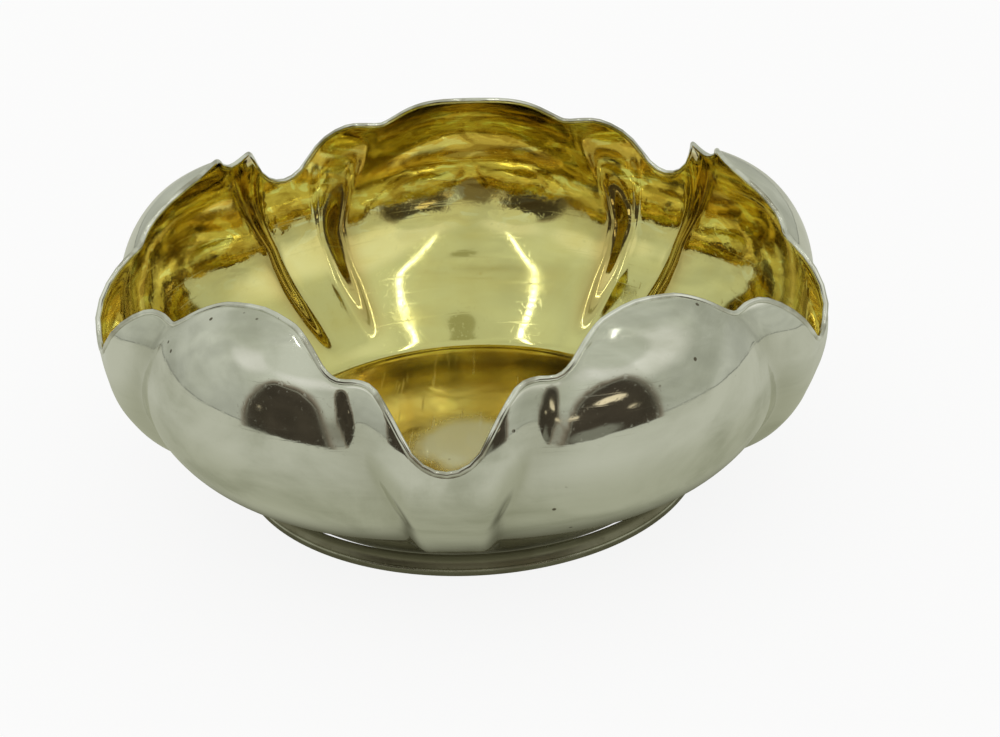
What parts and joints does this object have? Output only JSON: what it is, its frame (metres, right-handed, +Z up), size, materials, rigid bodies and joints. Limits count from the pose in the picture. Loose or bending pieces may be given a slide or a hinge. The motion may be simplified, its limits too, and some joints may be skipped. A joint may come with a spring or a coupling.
{
  "type": "lobed table bowl",
  "caption": "Round metal table bowl with a wall of broad inward-leaning petals parted by deep notches, a gilt inside, a wire rim and a low ring foot.",
  "frame": {"origin": "centre of the bowl on the table plane, under the middle of the foot", "axes": "+Z up along the bowl's axis, +Y towards the middle of one petal, -Y towards the notch opposite it"},
  "size_m": [0.2234, 0.2277, 0.0887],
  "materials": {
    "silver": "polished silver, lightly worn",
    "foot_silver": "polished silver with fine tarnish in the hollows",
    "gilt": "polished pale lemon gilding"
  },
  "bodies": {
    "root": {"bowl_body": "silver", "gilt_lining": "gilt", "rim_wire": "silver", "foot_collar": "foot_silver", "foot_band": "foot_silver"}
  },
  "joints": []
}
